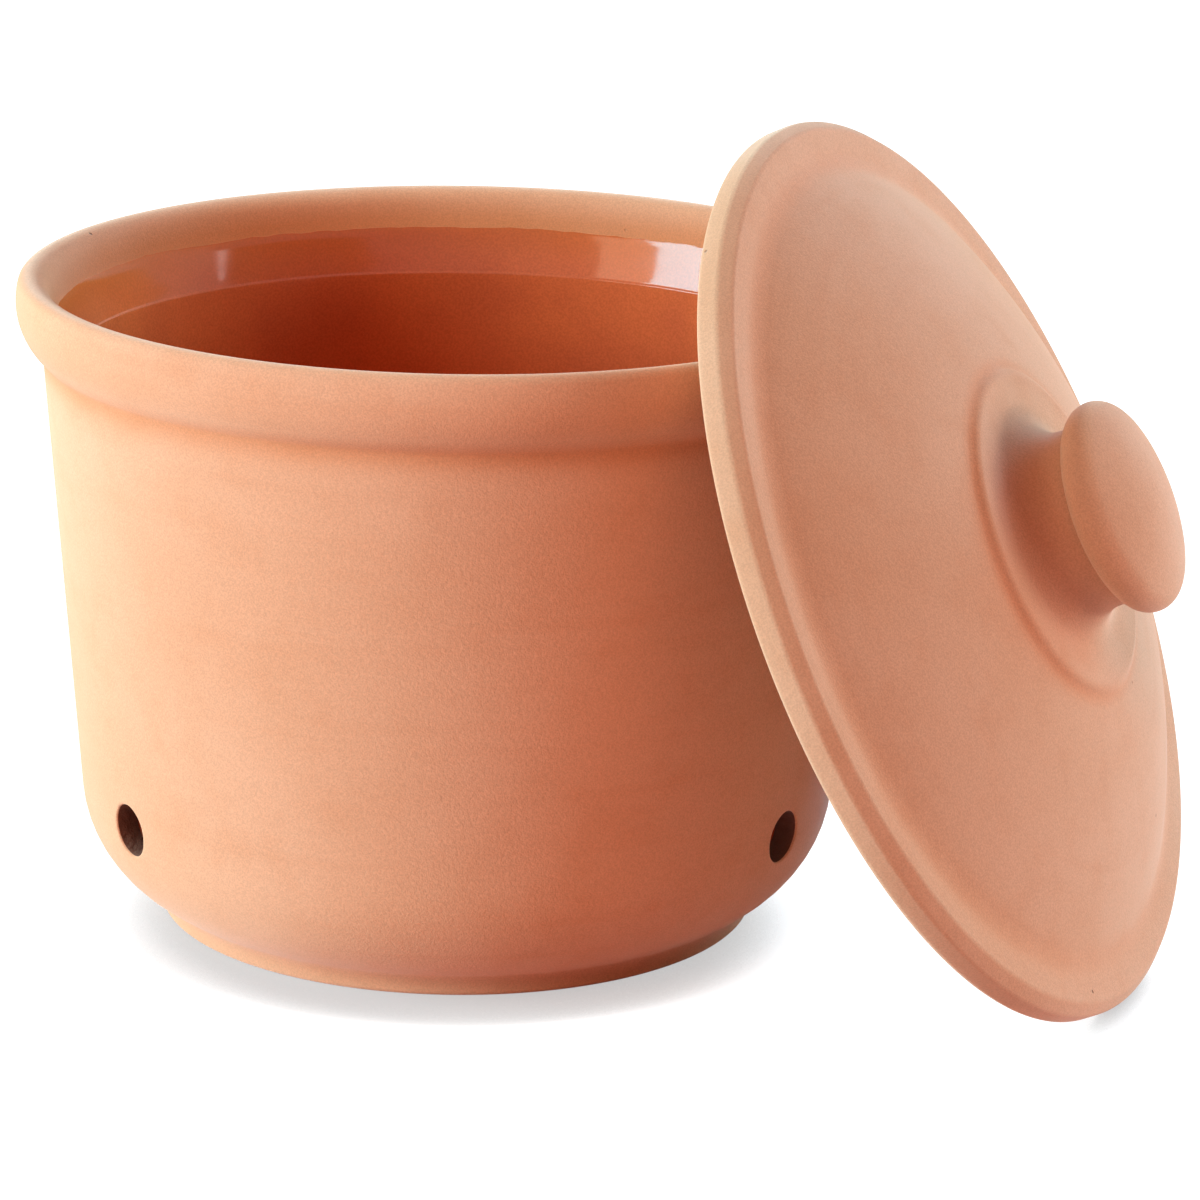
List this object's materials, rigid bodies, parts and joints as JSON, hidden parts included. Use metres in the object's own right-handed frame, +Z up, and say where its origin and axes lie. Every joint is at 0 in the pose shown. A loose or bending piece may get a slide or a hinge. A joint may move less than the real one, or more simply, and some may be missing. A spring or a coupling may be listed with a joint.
{
  "type": "garlic keeper",
  "caption": "Round terracotta garlic keeper: rolled-rim pot with a glazed bowl and air vents low in the wall, and a loose domed lid with a knob, leaning on the rim.",
  "frame": {"origin": "on the pot's turning axis, in the plane of its foot ring", "axes": "+Z is up along the pot's turning axis; the vent at the back faces +Y; the lid leans on the rim between +X and -Y"},
  "size_m": [0.2009, 0.1827, 0.1403],
  "materials": {
    "pot_clay": "unglazed matt terracotta outside, clear glaze over the bowl inside",
    "lid_clay": "unglazed matt terracotta"
  },
  "bodies": {
    "pot": {"pot": "pot_clay"},
    "lid": {"lid": "lid_clay"}
  },
  "joints": [
    {"name": "lid_lift", "type": "slide", "parent": "pot", "child": "lid", "axis": [0, 0, 1], "range_m": [0, 0.15]}
  ]
}
